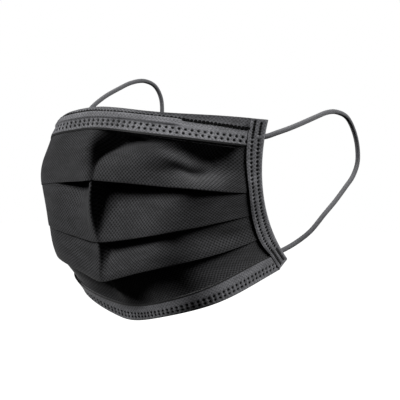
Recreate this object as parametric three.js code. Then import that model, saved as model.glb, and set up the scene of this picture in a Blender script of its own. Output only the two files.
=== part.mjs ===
// Disposable face mask in its worn shape: a pleated cup of cloth, folded hems at the top and
// the bottom, a nose wire in the top hem, a binding tape down each side and two ear loops.
//
// Millimetres, +Z up. The wearer looks along -Y. The origin is the nose seat: the point on the
// bridge of the nose that the middle of the top hem rests on. The wearer's left is +X.

import * as THREE from "three";

// ---------------------------------------------------------------- driving sizes

const CLOTH_WALL = 1.0; // thickness of the panel and of each hem ply
const PLY_GAP = 0.3; // clear space between two plies that lie on each other
const TAPE_GAP = 0.5; // clear space between the panel and the tape that folds round it
const HALF_WIDTH = 90; // the flat cloth from its middle to its side edge
const TAPE_WIDTH = 9; // side binding tape, from its inner edge to its fold
const TUCK_AT_CREASE = 2.5; // how far a pleat steps back at the middle crease
const TUCK_OPEN = 7; // how far it steps back where the worn pleat opens widest
const TUCK_AT_SIDE = 0.6; // how far it steps back where the side tape presses it flat
const TUCK_FADE = 1.5; // how fast the opening closes towards the side, 1 being evenly
const CREASE_REACH = 9; // half width of the middle crease
const WIRE_THICKNESS = 0.9; // flat nose wire
const CORD = 2.4; // ear loop diameter
const LOOP_OVERLAP = 7; // length of each loop end behind its tape
const TAIL_STEPS = 3; // pieces of a loop's straight end
const STATIONS = 48; // sections across the cloth
const TAPE_STATIONS = 28; // sections down a side tape
const HEM_STRIPS = 3; // rows down a ply of the top hem
const PATCH_ACROSS = 0.03; // half width of the patch that a layer's direction is taken from
const PATCH_DOWN = 0.12; // half height of that patch
const CORD_SIDES = 8;
const CORD_STEP = 2.5; // section spacing along a loop, in cord diameters

// Rows across the cloth, from the rim down to the hem under the chin. Each row is a curve from
// the middle crease to the side edge.
//   share   its place down the side edge, 0 at the top corner and 1 at the bottom one
//   ahead   how far its middle stands in front of the nose seat
//   height  height of its middle
//   turn    degrees by which it turns back as it leaves the crease
//   nose    how far it keeps that direction
//   flank   how far it has run straight when it reaches the side
//   arrive  degrees between that straight run and the +Y axis
//   rise    how early it leaves the middle's height, 0 late and 1 evenly
const ROWS = {
  rim: { share: 0, ahead: 1.5, height: 5.5, turn: 0, nose: 22, flank: 65, arrive: 40, rise: 0.7 },
  hem: { share: 0.055, ahead: 2.5, height: 4.2, turn: 0, nose: 22, flank: 65, arrive: 40, rise: 0.7 },
  brow: { share: 0.19, ahead: 3.8, height: -5, turn: 6, nose: 20, flank: 64, arrive: 30, rise: 0.95 },
  fold1: { share: 0.47, ahead: 8, height: -29, turn: 24, nose: 44, flank: 58, arrive: 10, rise: 0.35 },
  fold2: { share: 0.6, ahead: 3, height: -57.4, turn: 8, nose: 34, flank: 62, arrive: 14, rise: 0.9 },
  fold3: { share: 0.75, ahead: -4, height: -76, turn: 10, nose: 22, flank: 64, arrive: 8, rise: 1.35 },
  chin: { share: 0.93, ahead: -17, height: -90, turn: 6, nose: 22, flank: 66, arrive: 2, rise: 0.4 },
  foot: { share: 1, ahead: -27, height: -97, turn: 4, nose: 24, flank: 66, arrive: 0, rise: 0.5 },
};

// The side edge on the wearer's left, as the three points of one bow.
const SIDE_EDGE = new THREE.QuadraticBezierCurve3(
  new THREE.Vector3(66, 42, 0),
  new THREE.Vector3(61, 33, -39),
  new THREE.Vector3(53, 77, -69),
);

// Routes of the ear loops behind the tapes: x outward from the middle, y back, z up. Each one
// leaves its tape near the top corner, rounds the ear and comes back near the bottom corner.
const LOOP_LEFT = [
  [65.2, 50.5, -6.4],
  [66.2, 59, -4.2],
  [66, 70, -1.4],
  [65.4, 81, 1.4],
  [64.6, 91.5, 3.8],
  [63.8, 101, 4.4],
  [63.2, 112, 2],
  [62.5, 119.6, -4.4],
  [62.1, 123.8, -12],
  [62, 124.4, -20.6],
  [61.9, 120.4, -27.6],
  [61.6, 113.2, -33.6],
  [61, 105.2, -40],
  [59.8, 97, -46.4],
  [57.2, 88, -52.8],
  [53.6, 80, -58],
];
const LOOP_RIGHT = [
  [65, 49, -4.6],
  [66, 53, 2],
  [66.2, 59.5, 8.6],
  [65.9, 69, 14.8],
  [65.2, 79.5, 19.8],
  [64.4, 89, 23.6],
  [63.5, 98.5, 25],
  [62.8, 106.5, 22.6],
  [62.3, 111, 16.6],
  [62, 112, 8.4],
  [62, 109.6, -3],
  [62, 104.6, -14.4],
  [61.6, 98.4, -26],
  [60.4, 91.6, -37],
  [57.6, 84.6, -47],
  [53.8, 78, -55.6],
];

// Places down the cloth, as in the share column of ROWS.
const PANEL_TOP = 0.13;
const PANEL_FOOT = 0.985;
const WIRE_TOP = 0.07;
const WIRE_BOTTOM = 0.105;
const LOOP_TOP = 0.11; // where a loop's ends cross the tape
const LOOP_BOTTOM = 0.9;
const WALL_SHARE = CLOTH_WALL / SIDE_EDGE.getLength(); // the cloth's thickness on the side edge

// The panel from its top edge down: top and lip are places down the cloth, strips the rows in
// between, tucked says that it starts behind the lip above it, and folded that its lip is a fold.
const PANEL_PARTS = [
  { top: PANEL_TOP, lip: ROWS.brow.share, strips: 1, tucked: false, folded: false },
  { top: ROWS.brow.share, lip: ROWS.fold1.share, strips: 4, tucked: false, folded: true },
  { top: ROWS.fold1.share, lip: ROWS.fold2.share, strips: 3, tucked: true, folded: true },
  { top: ROWS.fold2.share, lip: ROWS.fold3.share, strips: 3, tucked: true, folded: true },
  { top: ROWS.fold3.share, lip: ROWS.chin.share, strips: 4, tucked: true, folded: false },
  { top: ROWS.chin.share, lip: PANEL_FOOT, strips: 1, tucked: false, folded: false },
];

// Reach across the cloth, as a share of its half width.
const TAPE_REACH = 1 - TAPE_WIDTH / HALF_WIDTH;
const HEM_REACH = TAPE_REACH - PLY_GAP / HALF_WIDTH;
const PANEL_REACH = 0.99;
const WIRE_REACH = 0.52;

// Layers through the cloth, as distances outward from the panel's outer face.
const PANEL_BACK = -CLOTH_WALL;
const FRONT_PLY = [PLY_GAP, PLY_GAP + CLOTH_WALL];
const BACK_PLY = [PANEL_BACK - PLY_GAP - CLOTH_WALL, PANEL_BACK - PLY_GAP];
const WIRE_LAYER = [-WIRE_THICKNESS, 0];
const TAPE_FRONT = [TAPE_GAP, TAPE_GAP + CLOTH_WALL];
const TAPE_INNER_FACE = PANEL_BACK - TUCK_AT_SIDE - TAPE_GAP;
const TAPE_BACK = [TAPE_INNER_FACE - CLOTH_WALL, TAPE_INNER_FACE];
const LOOP_LAYER = TAPE_BACK[0] - PLY_GAP - CORD / 2;

// ---------------------------------------------------------------- the cloth's own surface

const radians = THREE.MathUtils.degToRad;
const lerp = THREE.MathUtils.lerp;

function planCurve(row) {
  const side = SIDE_EDGE.getPoint(row.share);
  const turn = radians(row.turn);
  const arrive = radians(row.arrive);
  const middle = new THREE.Vector2(0, -row.ahead);
  const end = new THREE.Vector2(side.x, side.y);
  const noseHandle = new THREE.Vector2(Math.cos(turn), Math.sin(turn)).multiplyScalar(row.nose);
  const sideHandle = new THREE.Vector2(Math.sin(arrive), Math.cos(arrive)).multiplyScalar(row.flank);
  return new THREE.CubicBezierCurve(
    middle,
    middle.clone().add(noseHandle),
    end.clone().sub(sideHandle),
    end,
  );
}

const SECTIONS = Object.values(ROWS).map((row) => ({
  ...row,
  plan: planCurve(row),
  sideHeight: SIDE_EDGE.getPoint(row.share).z,
}));

// A point of one row, at a share of the way from the crease to the side edge.
function rowPoint(section, across) {
  const flat = section.plan.getPointAt(Math.min(across, 1));
  const eased = THREE.MathUtils.smoothstep(across, 0, 1);
  const climb = section.rise * across + (1 - section.rise) * eased;
  return new THREE.Vector3(flat.x, flat.y, lerp(section.height, section.sideHeight, climb));
}

// A point of the unpleated cloth. down runs from the rim (0) to the foot (1) as the side edge
// does, and across from the right side edge (-1) to the left one (1).
function clothPoint(down, across) {
  let upper = 0;
  while (upper < SECTIONS.length - 2 && down > SECTIONS[upper + 1].share) upper += 1;
  const a = SECTIONS[upper];
  const b = SECTIONS[upper + 1];
  const reach = Math.abs(across);
  const point = rowPoint(a, reach).lerp(rowPoint(b, reach), (down - a.share) / (b.share - a.share));
  point.x *= Math.sign(across);
  return point;
}

// Outward direction, taken over a wide patch so that it turns slowly from row to row.
function outward(down, across) {
  const along = THREE.MathUtils.clamp(across, PATCH_ACROSS - 1, 1 - PATCH_ACROSS);
  const toLeft = clothPoint(down, along + PATCH_ACROSS).sub(clothPoint(down, along - PATCH_ACROSS));
  const toFoot = clothPoint(down + PATCH_DOWN, along).sub(clothPoint(down - PATCH_DOWN, along));
  return toLeft.cross(toFoot).normalize().negate();
}

// A point of a layer at a distance outward from the cloth. Under a side tape every layer keeps
// the tape's own direction, and past the side edge the cloth goes straight on.
function layerPoint(down, across, out) {
  const side = Math.sign(across);
  const reach = Math.abs(across);
  if (reach < TAPE_REACH) return clothPoint(down, across).addScaledVector(outward(down, across), out);
  const near = clothPoint(down, TAPE_REACH * side);
  const past = (reach - TAPE_REACH) / (1 - TAPE_REACH);
  return near.lerp(clothPoint(down, side), past).addScaledVector(outward(down, side), out);
}

// How far a pleat steps back: little at the crease, most beside it, nearly nothing at the tape.
function tuckDepth(across) {
  const reach = Math.abs(across);
  const open = lerp(TUCK_OPEN, TUCK_AT_SIDE, Math.min(reach / TAPE_REACH, 1) ** TUCK_FADE);
  const crease = Math.exp(-(((reach * HALF_WIDTH) / CREASE_REACH) ** 2));
  return lerp(open, TUCK_AT_CREASE, crease);
}

// ---------------------------------------------------------------- closed solids

// Joins a row of closed loops of points into one closed body and caps its two ends.
function loft(loops) {
  const sides = loops[0].length;
  const positions = loops.flat().flatMap((point) => point.toArray());
  const faces = [];
  for (let ring = 0; ring < loops.length - 1; ring += 1) {
    for (let side = 0; side < sides; side += 1) {
      const a = ring * sides + side;
      const b = ring * sides + ((side + 1) % sides);
      faces.push(a, b, b + sides, a, b + sides, a + sides);
    }
  }
  const outline = capOutline(loops[0]);
  const last = (loops.length - 1) * sides;
  for (const [i, j, k] of THREE.ShapeUtils.triangulateShape(outline, [])) {
    faces.push(k, j, i);
    faces.push(last + i, last + j, last + k);
  }
  const geometry = new THREE.BufferGeometry();
  geometry.setAttribute("position", new THREE.Float32BufferAttribute(positions, 3));
  geometry.setIndex(faces);
  return facingOut(geometry);
}

// The end loop, flattened along its own normal, for cutting its cap into triangles.
function capOutline(loop) {
  const normal = new THREE.Vector3();
  loop.forEach((point, i) => {
    const next = loop[(i + 1) % loop.length];
    normal.x += (point.y - next.y) * (point.z + next.z);
    normal.y += (point.z - next.z) * (point.x + next.x);
    normal.z += (point.x - next.x) * (point.y + next.y);
  });
  const turn = new THREE.Quaternion().setFromUnitVectors(normal.normalize(), new THREE.Vector3(0, 0, 1));
  return loop.map((point) => {
    const flat = point.clone().applyQuaternion(turn);
    return new THREE.Vector2(flat.x, flat.y);
  });
}

// Turns every face over if the body encloses a negative volume.
function facingOut(geometry) {
  const position = geometry.attributes.position;
  const faces = geometry.index.array;
  const corner = (i) => new THREE.Vector3().fromBufferAttribute(position, faces[i]);
  let volume = 0;
  for (let i = 0; i < faces.length; i += 3) {
    volume += corner(i).dot(corner(i + 1).cross(corner(i + 2)));
  }
  if (volume < 0) {
    for (let i = 0; i < faces.length; i += 3) {
      const first = faces[i];
      faces[i] = faces[i + 2];
      faces[i + 2] = first;
    }
  }
  geometry.computeVertexNormals();
  return geometry;
}

// Evenly spaced values from a to b.
function steps(a, b, count) {
  return Array.from({ length: count + 1 }, (_, i) => lerp(a, b, i / count));
}

// A ply that runs across the mask: profile(across) gives its section as [down, out] pairs.
function plyAcross(profile, reach) {
  const inner = Math.min(reach, TAPE_REACH);
  const stations = steps(-inner, inner, STATIONS);
  if (reach > inner) {
    stations.unshift(-reach);
    stations.push(reach);
  }
  const ring = (across) => profile(across).map(([down, out]) => layerPoint(down, across, out));
  return loft(stations.map(ring));
}

// A flat ply between two places down the cloth, with rows in between so that it follows it.
function flatProfile(top, bottom, layer, spans) {
  const front = steps(top, bottom, spans).map((down) => [down, layer[1]]);
  const back = steps(bottom, top, spans).map((down) => [down, layer[0]]);
  return [...front, ...back];
}

// ---------------------------------------------------------------- the pieces

// The pleated cup. Each fold's lip stands proud, and the next pleat starts behind it.
function panelGeometry() {
  return plyAcross((across) => {
    const tuck = tuckDepth(across);
    const front = [];
    const back = [];
    for (const { top, lip, strips, tucked, folded } of PANEL_PARTS) {
      const step = tucked ? WALL_SHARE / 2 : 0;
      const innerLip = lip - (folded ? WALL_SHARE : 0);
      for (const part of steps(0, 1, strips)) {
        const inset = tucked ? lerp(tuck, 0, part) : 0;
        front.push([lerp(top + step, lip, part), -inset]);
        back.push([lerp(top - step, innerLip, part), PANEL_BACK - inset]);
      }
    }
    return [...unrepeated(front), ...unrepeated(back).reverse()];
  }, PANEL_REACH);
}

// The pairs of a profile, less each one that repeats the pair before it.
function unrepeated(profile) {
  return profile.filter((pair, i) => i === 0 || pair.some((value, k) => value !== profile[i - 1][k]));
}

// The bottom hem is folded round the panel's lower edge.
function bottomBandGeometry() {
  const chin = ROWS.chin.share;
  const under = 1 + WALL_SHARE;
  const profile = [
    [chin, FRONT_PLY[1]],
    [1, FRONT_PLY[1]],
    [under, FRONT_PLY[1]],
    [under, BACK_PLY[0]],
    [1, BACK_PLY[0]],
    [chin, BACK_PLY[0]],
    [chin, BACK_PLY[1]],
    [1, BACK_PLY[1]],
    [1, FRONT_PLY[0]],
    [chin, FRONT_PLY[0]],
  ];
  return plyAcross(() => profile, HEM_REACH);
}

// A side tape is folded round the side edge: side is 1 on the wearer's left, -1 on the right.
function sideBandGeometry(side) {
  const fold = 1 + TAPE_GAP / HALF_WIDTH;
  const outerFold = fold + CLOTH_WALL / HALF_WIDTH;
  const profile = [
    [TAPE_REACH, TAPE_FRONT[1]],
    [outerFold, TAPE_FRONT[1]],
    [outerFold, TAPE_BACK[0]],
    [TAPE_REACH, TAPE_BACK[0]],
    [TAPE_REACH, TAPE_BACK[1]],
    [fold, TAPE_BACK[1]],
    [fold, TAPE_FRONT[0]],
    [TAPE_REACH, TAPE_FRONT[0]],
  ];
  return loft(
    steps(0, 1 + WALL_SHARE, TAPE_STATIONS).map((down) =>
      profile.map(([across, out]) => layerPoint(down, across * side, out)),
    ),
  );
}

// An ear loop: a round elastic cord, whose ends lie behind the tape.
function loopGeometry(route, side) {
  const middle = route.map(([x, y, z]) => new THREE.Vector3(x * side, y, z));
  const overlap = LOOP_OVERLAP / HALF_WIDTH;
  const reaches = steps(1 - overlap, 1 + overlap / 2, TAIL_STEPS);
  const tail = (down) => reaches.map((reach) => layerPoint(down, side * reach, LOOP_LAYER));
  const points = [...tail(LOOP_TOP), ...middle, ...tail(LOOP_BOTTOM).reverse()];
  const path = new THREE.CatmullRomCurve3(points);
  const section = new THREE.Shape();
  section.absarc(0, 0, CORD / 2, 0, 2 * Math.PI);
  return new THREE.ExtrudeGeometry(section, {
    steps: Math.round(path.getLength() / (CORD * CORD_STEP)),
    curveSegments: CORD_SIDES / 2,
    extrudePath: path,
    bevelEnabled: false,
  });
}

// ---------------------------------------------------------------- assembly

const cloth = (color) => new THREE.MeshStandardMaterial({ color, roughness: 0.9, metalness: 0 });
const panelCloth = cloth(0x1d1d1e);
const hemCloth = cloth(0x55565a);
const loopElastic = cloth(0x5f6063);
const wireSteel = new THREE.MeshStandardMaterial({ color: 0xa8aaad, roughness: 0.4, metalness: 1 });

const hemProfile = (top, layer) => () => flatProfile(top, ROWS.brow.share, layer, HEM_STRIPS);
const pieces = {
  pleated_panel: [panelGeometry(), panelCloth],
  top_band: [plyAcross(hemProfile(ROWS.hem.share, FRONT_PLY), HEM_REACH), hemCloth],
  top_band_back: [plyAcross(hemProfile(ROWS.rim.share, BACK_PLY), HEM_REACH), hemCloth],
  nose_wire: [plyAcross(() => flatProfile(WIRE_TOP, WIRE_BOTTOM, WIRE_LAYER, 1), WIRE_REACH), wireSteel],
  bottom_band: [bottomBandGeometry(), hemCloth],
  side_band_left: [sideBandGeometry(1), hemCloth],
  side_band_right: [sideBandGeometry(-1), hemCloth],
  ear_loop_left: [loopGeometry(LOOP_LEFT, 1), loopElastic],
  ear_loop_right: [loopGeometry(LOOP_RIGHT, -1), loopElastic],
};

const mask = new THREE.Group();
for (const [name, [geometry, material]] of Object.entries(pieces)) {
  const mesh = new THREE.Mesh(geometry, material);
  mesh.name = name;
  mask.add(mesh);
}

export default mask;
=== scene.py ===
# %% [markdown]
# A disposable face mask, in the shape that it has when it is worn. The real one is three layers of
# spunbond and meltblown polypropylene, cut flat, laid in three pleats, hemmed at the top and the
# bottom, bound down both sides and fitted with two elastic loops. Ultrasonic welds hold it all
# together, so there is no thread anywhere: every seam is a row of small fused dots.
#
# The file goes in this order: the frame, the shape of the worn cloth, the camera, the lines of the
# two loops, the finishes, and then each piece in turn.

# %% Load the frame
import math

import bpy
import numpy as np
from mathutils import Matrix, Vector


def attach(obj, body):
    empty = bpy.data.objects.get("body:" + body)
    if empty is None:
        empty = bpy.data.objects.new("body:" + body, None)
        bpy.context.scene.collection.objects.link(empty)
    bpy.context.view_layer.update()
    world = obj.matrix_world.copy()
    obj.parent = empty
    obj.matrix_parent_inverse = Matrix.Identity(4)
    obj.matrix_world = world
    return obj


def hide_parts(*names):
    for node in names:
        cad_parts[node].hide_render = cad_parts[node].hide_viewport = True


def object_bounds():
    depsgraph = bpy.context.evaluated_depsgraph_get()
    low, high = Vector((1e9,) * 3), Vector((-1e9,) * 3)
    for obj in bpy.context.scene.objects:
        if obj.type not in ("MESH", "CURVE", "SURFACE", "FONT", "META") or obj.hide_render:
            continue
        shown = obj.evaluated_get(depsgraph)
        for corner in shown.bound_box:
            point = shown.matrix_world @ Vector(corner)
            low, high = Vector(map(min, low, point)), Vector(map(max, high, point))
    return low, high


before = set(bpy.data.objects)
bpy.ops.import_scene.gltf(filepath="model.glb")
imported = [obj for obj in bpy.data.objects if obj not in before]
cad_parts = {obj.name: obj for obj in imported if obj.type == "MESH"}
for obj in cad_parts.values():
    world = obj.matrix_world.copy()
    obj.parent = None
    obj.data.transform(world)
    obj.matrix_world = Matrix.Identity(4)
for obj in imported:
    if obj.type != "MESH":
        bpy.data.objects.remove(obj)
cad_low, cad_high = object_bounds()
MM = 0.001
print("frame:", sorted(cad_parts), "in mm", [round(v / MM, 1) for v in cad_high - cad_low])

# %% [markdown]
# The worn shape is driven by eight rows across the cloth, from the rim to the hem under the chin.
# Each row is a curve from the middle crease to the side edge. The frame was made from a table like
# this one. Here some rows have moved by a few millimetres, and all are rounded at the middle, as
# cloth is, so the pieces below lie where their frame pieces do, but fall more softly.

# %% Driving sizes
HALF_WIDTH = 90.0  # mm, the flat cloth from its middle to its side edge
EDGE_LENGTH = 85.0  # mm, the side edge from the rim to the foot, near enough
TAPE_WIDTH = 9.0  # mm, a side tape
CORD = 2.4  # mm, the thickness of an ear loop
LOOP_OVERLAP = 7.0  # mm of each loop end that lies behind its tape

# share: place down the side edge, 0 at the top corner; ahead and height: where the middle is;
# turn and nose: degrees and mm in which it leaves the crease; flank and arrive: mm and degrees in
# which it reaches the side; rise: how early it leaves the middle's height.
ROWS = {
    "rim": dict(share=0, ahead=1.5, height=5.8, turn=0, nose=22, flank=65, arrive=40, rise=1.3),
    "hem": dict(share=0.055, ahead=2.5, height=3.6, turn=0, nose=22, flank=65, arrive=40, rise=0.9),
    "brow": dict(share=0.19, ahead=3.8, height=-5, turn=6, nose=20, flank=64, arrive=30, rise=0.95),
    "fold1": dict(share=0.47, ahead=8, height=-29, turn=24, nose=44, flank=58, arrive=10, rise=0.35),
    "fold2": dict(share=0.6, ahead=1.5, height=-57.4, turn=8, nose=34, flank=62, arrive=14, rise=0.9),
    "fold3": dict(share=0.75, ahead=-1, height=-76, turn=10, nose=22, flank=64, arrive=8, rise=1.35),
    "chin": dict(share=0.92, ahead=-18.5, height=-88.8, turn=6, nose=22, flank=66, arrive=2, rise=0.4),
    "foot": dict(share=1, ahead=-20.5, height=-94.6, turn=4, nose=24, flank=66, arrive=0, rise=0.75),
}
# mm over which each row rounds off at the middle, in plan and in height
SOFT = {
    "rim": (0, 10), "hem": (0, 10), "brow": (2, 10), "fold1": (4, 6),
    "fold2": (5, 4), "fold3": (9, 4), "chin": (5, 9), "foot": (4, 9),
}
SIDE_EDGE = np.array([(66, 42, 0), (61, 33, -39), (53, 77, -69)], float)  # mm, three points of its bow
TAPE_REACH = 1 - TAPE_WIDTH / HALF_WIDTH
SHARES = np.array([row["share"] for row in ROWS.values()])
print("rows down the cloth:", ", ".join(ROWS))

# %% [markdown]
# Seen from above, a row leaves the crease over the nose, sweeps round the cheek and ends at the side
# edge. One Bezier curve draws that sweep, and the height is eased in along it. Blender's own curve
# objects could do the same, but here the points are wanted as plain numbers, evenly spaced, so that
# every later step can look them up.

# %% Rows across the cloth
TABLE_REACHES = np.linspace(0, 1, 361)


def bezier(points, t):
    """Points of a Bezier curve of any degree, at the values of t."""
    points = [np.asarray(p, float)[None, :] for p in points]
    t = np.asarray(t)[:, None]
    while len(points) > 1:
        points = [a * (1 - t) + b * t for a, b in zip(points, points[1:])]
    return points[0] * np.ones_like(t)


def row_table(row, soft):
    """One row's points, evenly spaced in reach from the crease (0) to the side edge (1)."""
    side = bezier(SIDE_EDGE, [row["share"]])[0]
    turn, arrive = math.radians(row["turn"]), math.radians(row["arrive"])
    start = np.array([0, -row["ahead"]])
    nose = start + row["nose"] * np.array([math.cos(turn), math.sin(turn)])
    flank = side[:2] - row["flank"] * np.array([math.sin(arrive), math.cos(arrive)])
    plan = bezier([start, nose, flank, side[:2]], np.linspace(0, 1, 801))
    run = np.concatenate([[0], np.cumsum(np.linalg.norm(np.diff(plan, axis=0), axis=1))])
    softness = [mm / HALF_WIDTH for mm in soft]
    in_plan, in_height = (np.sqrt(TABLE_REACHES**2 + s**2) - s for s in softness)
    x = np.interp(TABLE_REACHES * run[-1], run, plan[:, 0])
    y = np.interp(in_plan / in_plan[-1] * run[-1], run, plan[:, 1])
    late = in_height / in_height[-1]
    climb = row["rise"] * late + (1 - row["rise"]) * late**2 * (3 - 2 * late)
    return np.stack([x, y, row["height"] + (side[2] - row["height"]) * climb], axis=1)


TABLE = np.array([row_table(row, SOFT[name]) for name, row in ROWS.items()])
SLOPES = np.gradient(TABLE, SHARES, axis=0)
print("worn width in mm:", round(float(2 * TABLE[:, -1, 0].max()), 1))

# %% [markdown]
# Cloth doesn't stretch, so a place on it is given by two numbers that stay true however it is bent:
# how far down it is, as a share of the side edge, and how far across, as a share of the half width.
# One function turns the two into a point in space. Rows could be joined by straight lines, but a
# worn mask is rounded between its folds, so a smooth curve runs through them instead.

# %% Places on the cloth
def cloth_point(down, across):
    """Points of the unpleated cloth, in mm. down and across are arrays of one shape."""
    down, across = np.broadcast_arrays(np.asarray(down, float), np.asarray(across, float))
    upper = np.clip(np.searchsorted(SHARES, down) - 1, 0, len(SHARES) - 2)
    place = np.clip(np.abs(across), 0, 1) * (len(TABLE_REACHES) - 1)
    left = np.minimum(place.astype(int), len(TABLE_REACHES) - 2)
    part = (place - left)[..., None]

    def across_rows(table, row):
        return table[row, left] * (1 - part) + table[row, left + 1] * part

    gap = (SHARES[upper + 1] - SHARES[upper])[..., None]
    t = (down - SHARES[upper])[..., None] / gap
    inside = np.clip(t, 0, 1)
    a, b = across_rows(TABLE, upper), across_rows(TABLE, upper + 1)
    slope_a, slope_b = across_rows(SLOPES, upper) * gap, across_rows(SLOPES, upper + 1) * gap
    point = (
        (2 * inside**3 - 3 * inside**2 + 1) * a
        + (inside**3 - 2 * inside**2 + inside) * slope_a
        + (3 * inside**2 - 2 * inside**3) * b
        + (inside**3 - inside**2) * slope_b
    )
    point = point + np.minimum(t, 0) * slope_a + np.maximum(t - 1, 0) * slope_b
    return point * np.stack([np.sign(across), np.ones_like(across), np.ones_like(across)], axis=-1)


def unit(vectors):
    """The same directions, one unit long."""
    return vectors / np.linalg.norm(vectors, axis=-1, keepdims=True)


def outward(down, across, patch_down=0.12, patch_across=0.03):
    """The direction out of the cloth, over a patch wide enough to turn slowly over each fold."""
    along = np.clip(across, patch_across - 1, 1 - patch_across)
    to_left = cloth_point(down, along + patch_across) - cloth_point(down, along - patch_across)
    to_foot = cloth_point(down + patch_down, along) - cloth_point(down - patch_down, along)
    return unit(np.cross(to_foot, to_left))


print("middle of the cloth in mm:", cloth_point([0.5], [0.0])[0].round(1).tolist())

# %% [markdown]
# Worn cloth is never as even as its rows. It sinks in beside the nose, it buckles where a tape pulls
# it, and the hem under the chin stands off on one side. Each of these is a soft bump with a middle,
# a size and a height. Sculpting could make them, but a short table can be read and changed.

# %% Soft dents and swells
# One line for each soft dent or swell. x and down: where its middle is, in mm to the wearer's left of
# the crease and as a share down the cloth; wide: mm that it reaches to the right and left; tall: the
# share that it reaches up and down; lean: mm sideways for each whole share down; out and up: mm.
# The swells are in the panel only. The bends move all of the cloth, hems too, level and up.
SWELLS = [
    dict(x=16, down=0.22, wide=(8.5, 19), tall=0.16, lean=-75, out=-11.0),
    dict(x=4, down=0.38, wide=(4, 12), tall=0.1, lean=-20, out=-4.0),
    dict(x=56, down=0.39, wide=(16, 10), tall=0.055, lean=-80, out=-7.0),
    dict(x=67, down=0.27, wide=(21, 7), tall=0.11, lean=0, out=-8.0),
    dict(x=0, down=0.53, wide=(25, 1.6), tall=0.05, lean=0, out=2.0),
    dict(x=64, down=0.67, wide=(12, 10), tall=0.045, lean=60, out=-1.6),
]
SWELLS_FROM = (0.165, 0.215)  # they grow from nothing below the hem, because the hem is stiff
BENDS = [
    dict(x=22, down=0.06, wide=(12, 26), tall=0.2, lean=0, out=-3.2, up=0),
    dict(x=40, down=0.0, wide=(26, 30), tall=0.05, lean=0, out=0, up=-0.9),
    dict(x=-40, down=0.0, wide=(30, 24), tall=0.09, lean=0, out=0, up=-2.0),
    dict(x=28, down=1.0, wide=(24, 28), tall=0.15, lean=0, out=6.0, up=-0.3),
    dict(x=-38, down=1.0, wide=(30, 22), tall=0.12, lean=0, out=-1.0, up=1.2),
]


def soft_shape(table, key, down, across):
    """The sum of a table's soft dents and swells, in mm."""
    total = np.zeros(np.broadcast(down, across).shape)
    for line in table:
        x = across * HALF_WIDTH - line["x"] - line["lean"] * (down - line["down"])
        x = x / np.where(x < 0, *line["wide"])
        y = (down - line["down"]) / line["tall"]
        total = total + line[key] * np.exp(-(x**2) - y**2)
    return total


def swelling(down, across):
    """How far the soft dents and swells of the panel stand out, in mm."""
    start = np.clip((down - SWELLS_FROM[0]) / (SWELLS_FROM[1] - SWELLS_FROM[0]), 0, 1)
    return soft_shape(SWELLS, "out", down, across) * start**2 * (3 - 2 * start)


def bent(down, across):
    """Points of the unpleated cloth with its bends."""
    level = unit(outward(down, across) * (1, 1, 0))
    shift = level * soft_shape(BENDS, "out", down, across)[..., None]
    rise = soft_shape(BENDS, "up", down, across)[..., None] * np.array([0, 0, 1])
    return cloth_point(down, across) + shift + rise


print("soft shapes:", len(SWELLS), "in the panel and", len(BENDS), "in all of the cloth")

# %% [markdown]
# Panel, hems, tapes and loop ends are plies that lie on each other, each at its own distance from
# the middle of the pack. Blender's Solidify with an offset could part them, but the distance has to
# change from place to place, where a ply is pressed or lifted, so one function takes it as a number.

# %% Plies on the cloth
def layer(down, across, out):
    """Points of a layer that lies out mm outside the cloth. Under a tape it runs straight on."""
    down, across, out = np.broadcast_arrays(*(np.asarray(v, float) for v in (down, across, out)))
    side = np.where(across < 0, -1.0, 1.0)
    past = np.clip((np.abs(across) - TAPE_REACH) / (1 - TAPE_REACH), 0, None)[..., None]
    free = bent(down, across) + outward(down, across) * out[..., None]
    near, edge = bent(down, side * TAPE_REACH), bent(down, side)
    taped = near + (edge - near) * past + outward(down, side * TAPE_REACH) * out[..., None]
    return np.where(past > 0, taped, free)


print("lower corner of the cloth in mm:", layer([1.0], [1.0], 0.0)[0].round(1).tolist())

# %% [markdown]
# The camera stands in front of the wearer and on the wearer's left, almost level with the mask, as
# for a portrait. It could be moved and aimed by hand, but it is placed from an azimuth, an elevation
# and a distance, so that the view is told in a few numbers.

# %% Camera
AZIMUTH, ELEVATION, DISTANCE = 40.0, 2.6, 520.0  # degrees, degrees, mm
AIM = np.array([0, 45, -37.0])  # mm, the middle of the worn cup
AIM_RIGHT, AIM_UP = 17.57, -2.18  # mm, how far the picture's centre lies from the aim
FRAME_WIDTH = 198.0  # mm, what the picture takes in at the aim

turn, tilt = math.radians(AZIMUTH), math.radians(ELEVATION)
right = np.array([math.cos(turn), math.sin(turn), 0])
level_back = np.array([math.sin(turn), -math.cos(turn), 0])
back = level_back * math.cos(tilt) + np.array([0, 0, math.sin(tilt)])
up = np.cross(back, right)

camera = bpy.data.objects.new("camera", bpy.data.cameras.new("camera"))
camera.location = Vector((AIM + DISTANCE * back + AIM_RIGHT * right + AIM_UP * up) * MM)
camera.rotation_mode = "QUATERNION"
camera.rotation_quaternion = Vector(-back).to_track_quat("-Z", "Y")
camera.data.lens = camera.data.sensor_width * DISTANCE / FRAME_WIDTH
bpy.context.scene.collection.objects.link(camera)
bpy.context.scene.camera = camera
print("lens in mm:", round(camera.data.lens, 1))

# %% [markdown]
# An ear loop is a cord, and a cord is a line before it is a thing: where it leaves the tape, which
# way it goes round the ear, and how long it is. The points of the two lines are the frame's own, but
# for the last two of the left one, which hang a little lower. A smooth curve through them could be a
# Blender spline with a bevel. A mesh tube is made instead, because the knit has to follow the cord
# and the two ends are pressed flat where they are welded.

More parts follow.
